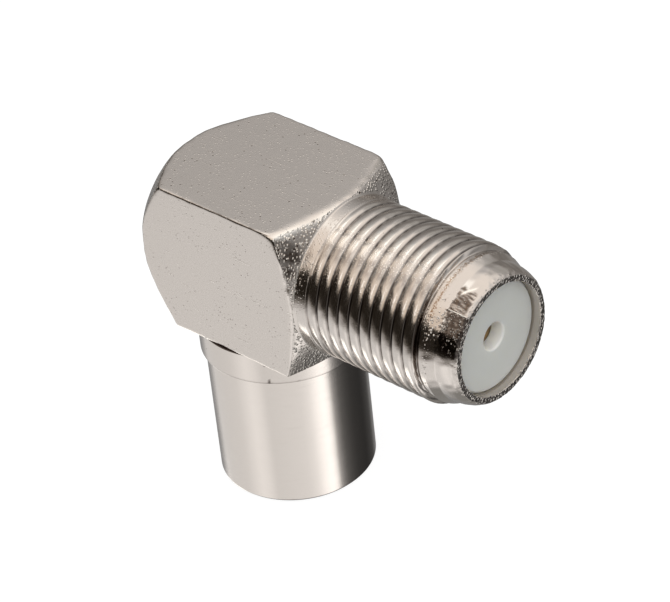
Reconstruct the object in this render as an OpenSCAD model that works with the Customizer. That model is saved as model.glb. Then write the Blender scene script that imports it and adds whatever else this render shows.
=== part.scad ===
// Right-angle coaxial adapter: threaded F jack on one side, push-on TV plug below.
// +Z runs up the plug axis and the open end of the plug sleeve lies on z = 0.
// The jack axis runs along +X, axis_h above that end.

/* [Plug sleeve] */
// outside diameter of the push-on sleeve
sleeve_d = 9.525; // [9.3:0.005:9.7]
// length of sleeve showing below the collar
sleeve_len = 9.1; // [7:0.1:12]
// bore of the sleeve around the centre pin
sleeve_bore_d = 8.3; // [7.8:0.05:8.7]
// bore of the narrow part that grips the plug insulator
sleeve_grip_d = 7.2; // [6.4:0.1:7.6]
// height where the bore narrows
sleeve_grip_z = 8.4; // [6:0.1:8.6]
// diameter of the spigot pressed into the collar
spigot_d = 8.6; // [8.2:0.05:8.9]
// length of that spigot
spigot_len = 2.6; // [1.5:0.1:3]
// bevel on the leading edge of the sleeve
sleeve_lead = 0.18; // [0:0.02:0.3]

/* [Centre pin] */
// diameter of the contact pin
pin_d = 2.4; // [2.2:0.05:2.6]
// distance from the sleeve end back to the pin tip
pin_setback = 0.7; // [0.2:0.1:2]
// diameter of the pin shank inside the insulator
pin_shank_d = 1.9; // [1.6:0.05:2.1]
// length of shank standing above the jack axis
pin_over = 1.3; // [1:0.1:2.5]

/* [Plug insulator] */
// height of the open face of the insulator
plug_face_z = 7.9; // [6:0.1:8.2]
// thickness of the flange trapped above the spigot
plug_flange_t = 0.8; // [0.5:0.1:1.2]

/* [Collar] */
// outside diameter of the turned collar under the block
collar_d = 10.1; // [9.9:0.05:10.4]
// height of the collar from the sleeve to the block
collar_h = 1.95; // [1.5:0.05:3]

/* [Block] */
// width across the flat sides
block_w = 9.9; // [9.6:0.1:12]
// height between the flat underside and the flat top
block_h = 9.8; // [9.6:0.1:12]
// distance from the plug axis to the back face
block_back = 5.9; // [5.5:0.1:8]
// diameter of the round back face inside its bevel
back_face_d = 9.8; // [8:0.1:9.8]
// angle between the back face and its turned bevel
back_angle = 45; // [30:1:60]
// distance from the plug axis to the front of the block
block_front = 6.25; // [5.8:0.05:8]
// diameter of the front bevel where the neck leaves it
front_face_d = 9.3; // [9:0.1:9.5]
// angle between the front face and its turned bevel
front_angle = 25.6; // [10:0.2:40]
// wall left over the wiring space
roof_t = 1.5; // [1:0.1:2.5]

/* [Jack thread] */
// major diameter of the thread
thread_d = 9.525; // [9.3:0.005:9.6]
// distance between neighbouring crests
thread_pitch = 0.79375; // [0.7:0.00025:0.9]
// depth of the thread, shallow as cast
thread_depth = 0.24; // [0.15:0.01:0.3]
// width of each crest, broad as cast
crest_w = 0.42; // [0.3:0.01:0.44]
// angle between the two flanks of a groove
flank_angle = 60; // [50:1:64]
// distance from the plug axis to the first groove
thread_x = 7.2; // [6.8:0.05:9]
// number of crests
thread_n = 10; // [4:1:10]
// diameter of the relief after the last groove
relief_d = 8.76; // [8.5:0.02:8.9]
// width of that relief
relief_w = 0.06; // [0.04:0.02:0.3]

/* [Jack nose] */
// distance from the plug axis to the jack mouth
mouth_x = 17.42; // [17.2:0.02:20]
// diameter of the shoulder after the last groove
shoulder_d = 8.96; // [8.8:0.02:9.2]
// length of that shoulder
shoulder_len = 0.4; // [0.2:0.02:0.8]
// length of the bevel from the shoulder down to the nose
shoulder_bevel = 0.56; // [0.2:0.02:0.8]
// nose diameter beside the shoulder
nose_root_d = 8.4; // [8.2:0.02:8.7]
// nose diameter where the bevel of the rim starts
nose_tip_d = 8.14; // [8:0.02:8.4]
// outside diameter of the flat ring round the mouth
rim_d = 7.6; // [7.2:0.02:7.8]
// length of the bevel that leads to that ring
rim_bevel = 0.48; // [0.2:0.02:0.6]

/* [Jack bore] */
// bore of the jack
jack_bore_d = 6.84; // [6.6:0.02:7]
// distance from the plug axis to the seat of the jack insulator
seat_x = 6.2; // [5:0.1:8]
// bore left open behind that seat
wiring_d = 5.4; // [4.6:0.1:6]
// depth of the insulator face inside the mouth
face_recess = 0.55; // [0.2:0.05:1]
// thickness of the front cap of the insulator
cap_t = 0.9; // [0.6:0.1:2]
// hole the cable wire enters by
entry_d = 1.64; // [1.2:0.02:2]
// thickness of insulator behind the contact pocket
pocket_wall = 1.6; // [1:0.1:3]
// bevel round the edge of the cap
cap_bevel = 0.12; // [0:0.02:0.3]

/* [Jack contact] */
// outside diameter of the spring barrel
contact_d = 2.2; // [1.8:0.1:2.6]
// bore of the spring barrel
contact_bore_d = 1.1; // [0.9:0.05:1.3]
// outside diameter where the leaves pinch in
pinch_d = 1.5; // [1.3:0.05:1.7]
// bore left between the pinched leaves
pinch_bore_d = 0.66; // [0.5:0.02:0.8]
// distance from the mouth of the contact back to the pinch
pinch_back = 1; // [0.6:0.1:2]
// bore at the flared mouth of the contact
contact_mouth_d = 1.8; // [1.7:0.05:1.9]
// thickness of the leaves at that mouth
leaf_t = 0.2; // [0.1:0.02:0.25]
// distance from the barrel to the pinch, where the leaves taper
pinch_len = 1.6; // [1:0.1:2]
// width of the slot between the leaves
slot_w = 0.3; // [0.15:0.05:0.4]
// length of the slot between the leaves
slot_len = 5; // [2:0.1:6]
// solid floor of the barrel in front of the tail
contact_floor = 1.2; // [0.6:0.1:2]
// diameter of the tail that reaches the pin
tail_d = 0.9; // [0.6:0.05:1]
// length of tail standing past the pin
tail_over = 0.5; // [0.2:0.1:1]

/* [Fits] */
// gap all round pieces pressed together
press_gap = 0.01; // [0:0.005:0.03]
// gap round the contact inside its pocket
pocket_gap = 0.12; // [0.05:0.01:0.2]
// gap between the mouth of the contact and the cap
tip_gap = 0.1; // [0.05:0.05:0.3]

/* [Hidden] */
$fn = 96;
collar_z = sleeve_len;
block_z = collar_z + collar_h;
axis_h = block_z + block_h / 2;
block_top = block_z + block_h;
corner_r = norm([block_w, block_h]) / 2 + 0.1;

spigot_top = collar_z + spigot_len;
flange_top = spigot_top + plug_flange_t;
pin_top = axis_h + pin_over;
space_top = block_top - roof_t;

root_r = thread_d / 2 - thread_depth;
flank_w = thread_depth * tan(flank_angle / 2);
root_w = thread_pitch - crest_w - 2 * flank_w;
thread_end = thread_x + thread_n * thread_pitch;

face_x = mouth_x - face_recess;
cap_x = face_x - cap_t;
pocket_x = seat_x + pocket_wall;
contact_tip = cap_x - tip_gap;

// turns a [radius, distance] profile about the jack axis
module about_jack(points) {
    translate([0, 0, axis_h]) rotate([0, 90, 0]) rotate_extrude() polygon(points);
}

// turns a [radius, height] profile about the plug axis
module about_plug(points) {
    rotate_extrude() polygon(points);
}

module jack_rod(d, from, to) {
    translate([from, 0, axis_h]) rotate([0, 90, 0]) cylinder(d = d, h = to - from);
}

module plug_rod(d, from, to) {
    translate([0, 0, from]) cylinder(d = d, h = to - from);
}

// square block whose two ends are turned to cones about the jack axis
module block() {
    back_cone = (corner_r - back_face_d / 2) * tan(back_angle);
    front_cone = (corner_r - front_face_d / 2) * tan(front_angle);
    intersection() {
        translate([-block_back, -block_w / 2, block_z])
            cube([block_back + block_front, block_w, block_h]);
        about_jack([
            [0, -block_back],
            [back_face_d / 2, -block_back],
            [corner_r, back_cone - block_back],
            [corner_r, block_front - front_cone],
            [front_face_d / 2, block_front],
            [0, block_front]
        ]);
    }
}

// crests stand as rings one pitch apart: half a groove, a crest, half a groove
function thread_tooth(x) = [
    [root_r, x + root_w / 2],
    [thread_d / 2, x + root_w / 2 + flank_w],
    [thread_d / 2, x + root_w / 2 + flank_w + crest_w],
    [root_r, x + thread_pitch - root_w / 2]
];

module barrel() {
    shoulder_x = thread_end + relief_w;
    nose_x = shoulder_x + shoulder_len + shoulder_bevel;
    about_jack(concat(
        [[0, 0], [front_face_d / 2, 0], [front_face_d / 2, block_front],
         [thread_d / 2, thread_x - flank_w], [root_r, thread_x]],
        [for (i = [0 : thread_n - 1]) each thread_tooth(thread_x + i * thread_pitch)],
        [[relief_d / 2, thread_end],
         [relief_d / 2, shoulder_x],
         [shoulder_d / 2, shoulder_x],
         [shoulder_d / 2, shoulder_x + shoulder_len],
         [nose_root_d / 2, nose_x],
         [nose_tip_d / 2, mouth_x - rim_bevel],
         [rim_d / 2, mouth_x],
         [0, mouth_x]]
    ));
}

// die-cast body: block, collar and threaded jack in one piece
module elbow_body() {
    color("#c9c5c0") difference() {
        union() {
            block();
            barrel();
            plug_rod(collar_d, collar_z, block_z + 0.6);
        }
        plug_rod(spigot_d, collar_z - 1, flange_top);
        plug_rod(wiring_d, flange_top - 1, space_top);
        jack_rod(wiring_d, 0, seat_x + 1);
        jack_rod(jack_bore_d, seat_x, mouth_x + 1);
    }
}

// turned tube with a spigot at its upper end
module plug_sleeve() {
    grip_r = sleeve_grip_d / 2;
    color("#d4d2cf") about_plug([
        [sleeve_bore_d / 2, 0],
        [sleeve_d / 2 - sleeve_lead, 0],
        [sleeve_d / 2, sleeve_lead],
        [sleeve_d / 2, collar_z],
        [spigot_d / 2 - press_gap, collar_z],
        [spigot_d / 2 - press_gap, spigot_top],
        [grip_r, spigot_top],
        [grip_r, sleeve_grip_z],
        [sleeve_bore_d / 2, sleeve_grip_z]
    ]);
}

// flanged bush that centres the pin in the sleeve and seats its shoulder
module plug_insulator() {
    color("#f2f0e8") difference() {
        union() {
            plug_rod(sleeve_grip_d - 2 * press_gap, plug_face_z, spigot_top + 0.1);
            plug_rod(spigot_d - 2 * press_gap, spigot_top, flange_top);
        }
        plug_rod(pin_shank_d + 2 * press_gap, plug_face_z - 1, flange_top + 1);
    }
}

// round-nosed pin, cross-drilled above for the tail of the jack contact
module plug_pin() {
    pin_r = pin_d / 2;
    color("#cfc9bd") difference() {
        union() {
            translate([0, 0, pin_setback + pin_r]) sphere(r = pin_r);
            plug_rod(pin_d, pin_setback + pin_r, plug_face_z);
            plug_rod(pin_shank_d, plug_face_z - 0.1, pin_top);
        }
        jack_rod(tail_d + 2 * press_gap, -pin_d, pin_d);
    }
}

// long bush in the jack with a pocket for the spring contact
module jack_insulator() {
    color("#f2f0e8") difference() {
        jack_rod(jack_bore_d - 2 * press_gap, seat_x, cap_x);
        jack_rod(tail_d + 2 * press_gap, seat_x - 1, pocket_x + 0.1);
        jack_rod(contact_d + 2 * pocket_gap, pocket_x, cap_x + 1);
    }
}

// thin cap that closes the pocket and guides the cable wire
module jack_cap() {
    rim_r = jack_bore_d / 2 - press_gap;
    color("#f2f0e8") difference() {
        about_jack([
            [0, cap_x],
            [rim_r, cap_x],
            [rim_r, face_x - cap_bevel],
            [rim_r - cap_bevel, face_x],
            [0, face_x]
        ]);
        jack_rod(entry_d, cap_x - 1, face_x + 1);
    }
}

// slotted spring barrel with a solid tail that crosses the pin
module jack_contact() {
    pinch_x = contact_tip - pinch_back;
    slot_x = contact_tip - slot_len;
    color("#b98b4a") difference() {
        union() {
            about_jack([
                [0, pocket_x],
                [contact_d / 2, pocket_x],
                [contact_d / 2, pinch_x - pinch_len],
                [pinch_d / 2, pinch_x],
                [contact_mouth_d / 2 + leaf_t, contact_tip],
                [0, contact_tip]
            ]);
            jack_rod(tail_d, -pin_shank_d / 2 - tail_over, pocket_x + 0.1);
        }
        about_jack([
            [0, pocket_x + contact_floor],
            [contact_bore_d / 2, pocket_x + contact_floor],
            [contact_bore_d / 2, pinch_x - pinch_len],
            [pinch_bore_d / 2, pinch_x],
            [contact_mouth_d / 2, contact_tip],
            [contact_mouth_d / 2, contact_tip + 1],
            [0, contact_tip + 1]
        ]);
        translate([slot_x, -contact_d, axis_h - slot_w / 2])
            cube([slot_len + 1, 2 * contact_d, slot_w]);
    }
}

elbow_body();
plug_sleeve();
plug_insulator();
plug_pin();
jack_insulator();
jack_cap();
jack_contact();
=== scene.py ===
import math

import bpy
import numpy as np
from mathutils import Matrix, Vector


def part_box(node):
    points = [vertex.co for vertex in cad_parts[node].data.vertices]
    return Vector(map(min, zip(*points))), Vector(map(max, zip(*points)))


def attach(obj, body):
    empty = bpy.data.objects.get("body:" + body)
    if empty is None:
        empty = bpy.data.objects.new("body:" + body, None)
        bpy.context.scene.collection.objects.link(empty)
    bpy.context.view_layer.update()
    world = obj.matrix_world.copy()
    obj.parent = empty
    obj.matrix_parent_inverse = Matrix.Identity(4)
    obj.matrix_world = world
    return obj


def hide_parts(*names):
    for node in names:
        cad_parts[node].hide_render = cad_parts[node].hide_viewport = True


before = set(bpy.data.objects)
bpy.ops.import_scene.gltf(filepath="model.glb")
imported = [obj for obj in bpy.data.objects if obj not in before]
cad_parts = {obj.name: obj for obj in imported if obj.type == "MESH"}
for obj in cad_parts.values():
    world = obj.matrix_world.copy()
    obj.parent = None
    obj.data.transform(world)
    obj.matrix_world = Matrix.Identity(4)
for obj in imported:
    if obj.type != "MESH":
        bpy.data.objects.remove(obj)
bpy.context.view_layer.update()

mm = 0.001

# where the axes and faces lie, worked out from the solids and in millimetres
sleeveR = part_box("plug_sleeve")[1][0] / mm
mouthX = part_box("elbow_body")[1][0] / mm
capLow, capHigh = (np.array(v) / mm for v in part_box("jack_cap"))
jackZ = (capLow[2] + capHigh[2]) / 2
print("frame loaded: jack axis at z %.3f, mouth at x %.3f" % (jackZ, mouthX))


def addObject(name, data):
    thing = bpy.data.objects.new(name, data)
    bpy.context.scene.collection.objects.link(thing)
    return thing


def addMesh(name, points, material, layers, flip=False, closedAround=True):
    # points is a grid (along, around, xyz) in millimetres, layers are numbers for the material at each point
    along, around = points.shape[:2]
    index = np.arange(along * around).reshape(along, around)
    beside = np.roll(index, -1, axis=1)
    quads = np.stack([index[:-1], beside[:-1], beside[1:], index[1:]], -1)
    if not closedAround:
        quads = quads[:, :-1]
    quads = quads.reshape(-1, 4)
    if flip:
        quads = quads[:, ::-1]
    mesh = bpy.data.meshes.new(name)
    mesh.from_pydata((points.reshape(-1, 3) * mm).tolist(), [], quads.tolist())
    mesh.polygons.foreach_set("use_smooth", [True] * len(mesh.polygons))
    for layer, values in layers.items():
        attribute = mesh.attributes.new(layer, "FLOAT", "POINT")
        attribute.data.foreach_set("value", np.asarray(values, np.float32).ravel())
    mesh.materials.append(material)
    piece = addObject(name, mesh)
    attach(piece, "root")
    return piece


def secondMaterial(piece, material, chosen):
    # chosen tells for each face of the grid whether it takes the second material
    piece.data.materials.append(material)
    piece.data.polygons.foreach_set("material_index", chosen.ravel().astype(np.int32))


def aboutJack(x, r, theta):
    # theta 0 is +Y and 90 degrees is up
    x, r, theta = np.broadcast_arrays(x, r, theta)
    return np.stack([x, r * np.cos(theta), jackZ + r * np.sin(theta)], -1)


def aboutPlug(z, r, theta):
    z, r, theta = np.broadcast_arrays(z, r, theta)
    return np.stack([r * np.cos(theta), r * np.sin(theta), z], -1)


def aroundAxis(count):
    return np.linspace(0, 2 * math.pi, count, endpoint=False)[None, :]


def halfTurnDegrees(theta):
    return (np.degrees(theta) + 180) % 360 - 180


def smoothStep(low, high, v):
    t = np.clip((v - low) / (high - low), 0, 1)
    return t * t * (3 - 2 * t)


def band(v, low, lowFull, highFull, high):
    # 1 between the two inner values and 0 outside the outer ones
    return smoothStep(low, lowFull, v) * smoothStep(high, highFull, v)


def hump(v, middle, wide, power=2):
    return np.exp(-((v - middle) / wide) ** power)


def roundedProfile(corners, steps=6, spacing=0.5):
    # corners is a list of (along, radius, corner radius)
    pts = [np.array(c[:2], float) for c in corners]
    out = [pts[0]]
    for i in range(1, len(pts) - 1):
        a, b, c = pts[i - 1], pts[i], pts[i + 1]
        u, w = a - b, c - b
        lu, lw = np.linalg.norm(u), np.linalg.norm(w)
        u, w = u / lu, w / lw
        half = math.acos(max(-1, min(1, float(u @ w)))) / 2
        # a corner's rounding takes at most half of each side
        cut = min(corners[i][2] / max(math.tan(half), 1e-6), 0.48 * lu, 0.48 * lw)
        if cut < 1e-4 or half > 1.56:
            out.append(b)
            continue
        r = cut * math.tan(half)
        mid = (u + w) / np.linalg.norm(u + w)
        centre = b + mid * r / math.sin(half)
        p0, p1 = b + u * cut - centre, b + w * cut - centre
        for t in np.linspace(0, 1, steps):
            d = p0 * (1 - t) + p1 * t
            out.append(centre + d / np.linalg.norm(d) * r)
    out.append(pts[-1])
    filled = [out[0]]
    for a, b in zip(out, out[1:]):
        n = max(1, int(math.ceil(np.linalg.norm(b - a) / spacing)))
        filled += [a + (b - a) * k / n for k in range(1, n + 1)]
    return np.array(filled)


def columns(profile):
    return profile[:, 0][:, None], profile[:, 1][:, None]


def periodicNoise(theta, x, seed, waves=24, around=14, along=3.0):
    # sum of seeded waves that close on themselves round the axis
    rng = np.random.default_rng(seed)
    total = np.zeros(np.broadcast(theta, x).shape)
    for _ in range(waves):
        k = rng.integers(1, around)
        m = rng.normal(0, along)
        total = total + np.sin(k * theta + m * x + rng.uniform(0, 6.28)) * rng.uniform(0.4, 1)
    return total / math.sqrt(waves)


def blotches(base, share, noise):
    return np.clip(base + share * noise, 0, 1)


def srgb(code):
    values = [int(code[i:i + 2], 16) / 255 for i in (1, 3, 5)]
    return [v / 12.92 if v <= 0.04045 else ((v + 0.055) / 1.055) ** 2.4 for v in values] + [1.0]


def addNode(tree, kind, settings={}, inputs={}, links={}):
    # settings are the node's own, inputs are constants, links join other nodes' outputs
    node = tree.nodes.new("ShaderNode" + kind)
    for key, value in settings.items():
        setattr(node, key, value)
    for key, value in inputs.items():
        node.inputs[key].default_value = value
    for key, source in links.items():
        tree.links.new(source, node.inputs[key])
    return node


# settings that many nodes share
multiply = {"operation": "MULTIPLY"}
colourMix = {"data_type": "RGBA"}
eased = {"interpolation_type": "SMOOTHSTEP"}


def newMaterial(name, metallic=0.0):
    material = bpy.data.materials.new(name)
    material.use_nodes = True
    tree = material.node_tree
    shader = tree.nodes["Principled BSDF"]
    shader.inputs["Metallic"].default_value = metallic
    spot = {"Vector": addNode(tree, "TexCoord").outputs["Object"]}
    return material, tree, shader, spot


def layRelief(tree, shader, layers):
    # one relief over another, each with its own real depth in millimetres, hollow where that is below 0
    links = {}
    for height, depth in layers:
        bump = addNode(tree, "Bump", {"invert": depth < 0}, {"Strength": 1.0, "Distance": abs(depth) * mm},
                       dict(links, Height=height))
        links = {"Normal": bump.outputs["Normal"]}
    tree.links.new(bump.outputs["Normal"], shader.inputs["Normal"])


castNickelLook = {
    "colour": "#D1C9C2",  # nickel, slightly warm
    "darkColour": "#4A403A",  # dirt, and painted shade in pits, grooves and along sharp edges
    "stainColour": "#8A6A48",  # brown gold where the plating has rubbed thin
    "glintColour": "#FFFAF2", "glint": 0.8,  # painted highlight on the tops of the pimples and on marked places
    "roughness": 0.24, "roughSpread": 0.04,
    "wornRoughness": 0.13,  # edges that hands have polished
    "grainMm": 0.12, "grainDepth": 0.0015,  # fine skin of the casting
    "waveMm": 1.6, "waveDepth": 0.006,  # slow unevenness, which bends reflections
    "pimpleMm": 0.32, "pimpleSize": 0.3, "pimpleDepth": 0.012, "pimpleFrom": 0.52,
    "pitMm": 0.5, "pitSize": 0.17, "pitDepth": 0.01, "pitFrom": 0.52, "pitStretch": (1.0, 1.0, 1.0),
    "scratchMm": 0.0, "scratchDepth": 0.004,  # 0 mm leaves the scratches out
    "scratchTurns": (0.5, -0.35, 1.3),
}


def castNickel(name, **changes):
    # zinc casting plated with nickel: satin grey metal, with pimples whose tops carry a painted highlight, and
    # small pits darkened with painted shade
    look = dict(castNickelLook, **changes)
    material, tree, shader, spot = newMaterial(name, metallic=1.0)
    grain = addNode(tree, "TexNoise", {},
                    {"Scale": 1 / (look["grainMm"] * mm), "Detail": 3.0, "Roughness": 0.6}, spot)
    wave = addNode(tree, "TexNoise", {}, {"Scale": 1 / (look["waveMm"] * mm), "Detail": 2.0}, spot)
    polishAndHighlight, smooth, dirtAndShade, stain, paintedHighlight = (
        addNode(tree, "Attribute", {"attribute_name": layer}).outputs["Fac"]
        for layer in ("edge", "smooth", "dirtAndShade", "stain", "paintedHighlight"))

    # pimples stand in loose groups, and only where the skin is not smooth
    moved = addNode(tree, "Mapping", {}, {"Location": (0.013, 0.007, 0.021)}, spot)
    cluster = addNode(tree, "TexNoise", {},
                      {"Scale": 1 / (look["waveMm"] * 0.9 * mm), "Detail": 3.0, "Roughness": 0.7},
                      {"Vector": moved.outputs["Vector"]})
    pimples = addNode(tree, "TexVoronoi", {"feature": "F1"}, {"Scale": 1 / (look["pimpleMm"] * mm)}, spot)
    pimpleShape = addNode(tree, "MapRange", eased, {"From Min": look["pimpleSize"], "From Max": 0.0},
                          {"Value": pimples.outputs["Distance"]})
    grouped = addNode(tree, "MapRange", {},
                      {"From Min": look["pimpleFrom"], "From Max": look["pimpleFrom"] + 0.08},
                      {"Value": cluster.outputs["Fac"]})
    gritty = addNode(tree, "Math", {"operation": "SUBTRACT"}, {0: 1.0}, {1: smooth})
    pimpleSome = addNode(tree, "Math", multiply, {}, {0: gritty.outputs[0], 1: grouped.outputs[0]})
    pimple = addNode(tree, "Math", multiply, {}, {0: pimpleShape.outputs[0], 1: pimpleSome.outputs[0]})

    # pits are there only on the high side of the slow waves
    stretched = addNode(tree, "Mapping", {}, {"Scale": look["pitStretch"], "Rotation": (0.3, 0.2, 0.4)}, spot)
    pits = addNode(tree, "TexVoronoi", {"feature": "F1"}, {"Scale": 1 / (look["pitMm"] * mm)},
                   {"Vector": stretched.outputs["Vector"]})
    pitShape = addNode(tree, "MapRange", eased,
                       {"From Min": look["pitSize"], "From Max": look["pitSize"] * 0.3},
                       {"Value": pits.outputs["Distance"]})
    pitSome = addNode(tree, "MapRange", {}, {"From Min": look["pitFrom"], "From Max": look["pitFrom"] + 0.06},
                      {"Value": wave.outputs["Fac"]})
    pit = addNode(tree, "Math", multiply, {}, {0: pitShape.outputs[0], 1: pitSome.outputs[0]})

    # colour: nickel, then dirt and painted shade from its layer and in the pits, then stain in patches, then
    # painted highlights on the pimple tops and from the highlight layer
    # painted shade: the pits and the dark layer darken the base colour
    dark = addNode(tree, "Math", {"operation": "ADD", "use_clamp": True}, {}, {0: pit.outputs[0], 1: dirtAndShade})
    tint = addNode(tree, "Mix", colourMix, {6: srgb(look["colour"]), 7: srgb(look["darkColour"])},
                   {0: dark.outputs[0]})
    patches = addNode(tree, "MapRange", {}, {"From Min": 0.42, "From Max": 0.58},
                      {"Value": grain.outputs["Fac"]})
    stained = addNode(tree, "Math", multiply, {}, {0: stain, 1: patches.outputs[0]})
    tint = addNode(tree, "Mix", colourMix, {7: srgb(look["stainColour"])},
                   {0: stained.outputs[0], 6: tint.outputs[2]})
    core = addNode(tree, "MapRange", eased,
                   {"From Min": look["pimpleSize"] * 0.75, "From Max": look["pimpleSize"] * 0.25,
                    "To Max": look["glint"]},
                   {"Value": pimples.outputs["Distance"]})
    # painted highlight: pimple tops and the highlight layer whiten the base colour
    glint = addNode(tree, "Math", {"operation": "MULTIPLY_ADD", "use_clamp": True}, {},
                    {0: core.outputs[0], 1: pimpleSome.outputs[0], 2: paintedHighlight})
    tint = addNode(tree, "Mix", colourMix, {7: srgb(look["glintColour"])},
                   {0: glint.outputs[0], 6: tint.outputs[2]})
    tree.links.new(tint.outputs[2], shader.inputs["Base Color"])

    spread = addNode(tree, "MapRange", {},
                     {"From Min": 0.3, "From Max": 0.7, "To Min": look["roughness"] - look["roughSpread"],
                      "To Max": look["roughness"] + look["roughSpread"]},
                     {"Value": grain.outputs["Fac"]})
    polished = addNode(tree, "Mix", {"data_type": "FLOAT"}, {3: look["wornRoughness"]},
                       {0: polishAndHighlight, 2: spread.outputs["Result"]})
    tree.links.new(polished.outputs[0], shader.inputs["Roughness"])

    layers = [(wave.outputs["Fac"], look["waveDepth"]), (grain.outputs["Fac"], look["grainDepth"]),
              (pimple.outputs[0], look["pimpleDepth"]), (pit.outputs[0], -look["pitDepth"])]
    for turn in look["scratchTurns"] if look["scratchMm"] else ():
        lines = addNode(tree, "Mapping", {}, {"Rotation": (0, 0, turn), "Scale": (0.05, 1.0, 1.0)}, spot)
        hair = addNode(tree, "TexNoise", {}, {"Scale": 1 / (look["scratchMm"] * mm), "Detail": 2.0},
                       {"Vector": lines.outputs["Vector"]})
        peak = addNode(tree, "MapRange", eased, {"From Min": 0.70, "From Max": 0.78},
                       {"Value": hair.outputs["Fac"]})
        layers.append((peak.outputs[0], look["scratchDepth"]))
    layRelief(tree, shader, layers)
    return material


# flats: ground satin, with fine scratches and a few long pits
flatNickel = castNickel("nickelPlatedCastingFlats", scratchMm=0.12, scratchDepth=0.004,
                        pimpleMm=0.2, pimpleDepth=0.01, pimpleSize=0.32, pimpleFrom=0.42, glint=0.5,
                        pitMm=0.34, pitSize=0.18, pitFrom=0.495, pitDepth=0.014, pitStretch=(1.0, 1.0, 2.5))
# cones: coarse as cast, almost wrinkled
roughNickel = castNickel("nickelPlatedCastingRough", roughness=0.15, grainMm=0.09, grainDepth=0.012,
                         pimpleMm=0.17, pimpleSize=0.55, pimpleDepth=0.05, pimpleFrom=0.25, glint=1.0,
                         pitMm=0.3, pitSize=0.3, pitFrom=0.42, pitDepth=0.03)
# thread: brighter, with tiny grains along the mould's parting line that carry painted highlights
threadNickel = castNickel("nickelPlatedCastingThread", roughness=0.17, grainMm=0.09, grainDepth=0.003,
                          pimpleMm=0.12, pimpleSize=0.45, pimpleDepth=0.013, pimpleFrom=0.15, glint=1.0,
                          pitFrom=0.6, waveDepth=0.01)
# neck and nose: nearly polished, with slightly larger grains
noseNickel = castNickel("nickelPlatedCastingNose", roughness=0.16, grainMm=0.09, grainDepth=0.003,
                        pimpleMm=0.15, pimpleSize=0.4, pimpleDepth=0.03, pimpleFrom=0.38, glint=0.55,
                        pitFrom=0.6, waveDepth=0.01)
# collar: plain and nearly polished
collarNickel = castNickel("nickelPlatedCastingCollar", roughness=0.17,
                          pimpleFrom=0.62, pitFrom=0.62, waveDepth=0.004)
# ring round the mouth: chipped, with painted highlights on its grains
rimNickel = castNickel("nickelPlatedCastingRim", roughness=0.16, grainMm=0.12, grainDepth=0.02,
                       pimpleMm=0.17, pimpleSize=0.55, pimpleDepth=0.06, pimpleFrom=0.1, glint=1.0,
                       pitMm=0.3, pitSize=0.3, pitFrom=0.42, pitDepth=0.03)

turnedNickelLook = {
    "colour": "#D4CCC5",
    "darkColour": "#4A403A",  # dirt in the seam and on the lower edge
    "roughness": 0.14, "roughLess": 0.04, "roughMore": 0.06,
    "lineMm": 0.06, "lineDepth": 0.0022,  # the tool's lines round the sleeve
    "waveMm": 2.2, "waveDepth": 0.008,
    "scratchMm": 0.16, "scratchDepth": 0.0015,
    "scratchTurns": (0.16, -0.22),
}


def turnedNickel(name, look):
    # turned brass plated with nickel: bright, with fine lines round it that draw the highlights out
    material, tree, shader, spot = newMaterial(name, metallic=1.0)
    stretched = addNode(tree, "Mapping", {}, {"Scale": (0.05, 0.05, 1.0)}, spot)
    lines = addNode(tree, "TexNoise", {}, {"Scale": 1 / (look["lineMm"] * mm), "Detail": 3.0, "Roughness": 0.7},
                    {"Vector": stretched.outputs["Vector"]})
    rough = addNode(tree, "MapRange", {},
                    {"From Min": 0.3, "From Max": 0.7, "To Min": look["roughness"] - look["roughLess"],
                     "To Max": look["roughness"] + look["roughMore"]},
                    {"Value": lines.outputs["Fac"]})
    tree.links.new(rough.outputs["Result"], shader.inputs["Roughness"])
    dirtAndShade = addNode(tree, "Attribute", {"attribute_name": "dirtAndShade"})
    tint = addNode(tree, "Mix", colourMix, {6: srgb(look["colour"]), 7: srgb(look["darkColour"])},
                   {0: dirtAndShade.outputs["Fac"]})
    tree.links.new(tint.outputs[2], shader.inputs["Base Color"])
    wave = addNode(tree, "TexNoise", {}, {"Scale": 1 / (look["waveMm"] * mm), "Detail": 1.0}, spot)
    layers = [(lines.outputs["Fac"], look["lineDepth"]), (wave.outputs["Fac"], look["waveDepth"])]
    for turn in look["scratchTurns"]:
        hairs = addNode(tree, "Mapping", {},
                        {"Rotation": (turn, turn * 0.7, 0), "Scale": (0.07, 0.07, 1.0)}, spot)
        hair = addNode(tree, "TexNoise", {}, {"Scale": 1 / (look["scratchMm"] * mm), "Detail": 2.0},
                       {"Vector": hairs.outputs["Vector"]})
        peak = addNode(tree, "MapRange", eased, {"From Min": 0.68, "From Max": 0.76},
                       {"Value": hair.outputs["Fac"]})
        layers.append((peak.outputs[0], look["scratchDepth"]))
    layRelief(tree, shader, layers)
    return material


sleeveNickel = turnedNickel("nickelPlatedBrassTurned", turnedNickelLook)

whiteCapLook = {
    "colour": "#E6E8E4", "cloudColour": "#DCDDD6",
    "thinColour": "#FFFCF2",  # painted light, where light would shine through the thin wall of the hole
    "roughness": 0.42, "ior": 1.51,
    "through": 0.6, "reachMm": 1.1, "reach": (0.9, 0.85, 0.7),  # how far light wanders under the skin
    "cloudMm": 2.5,
}


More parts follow.
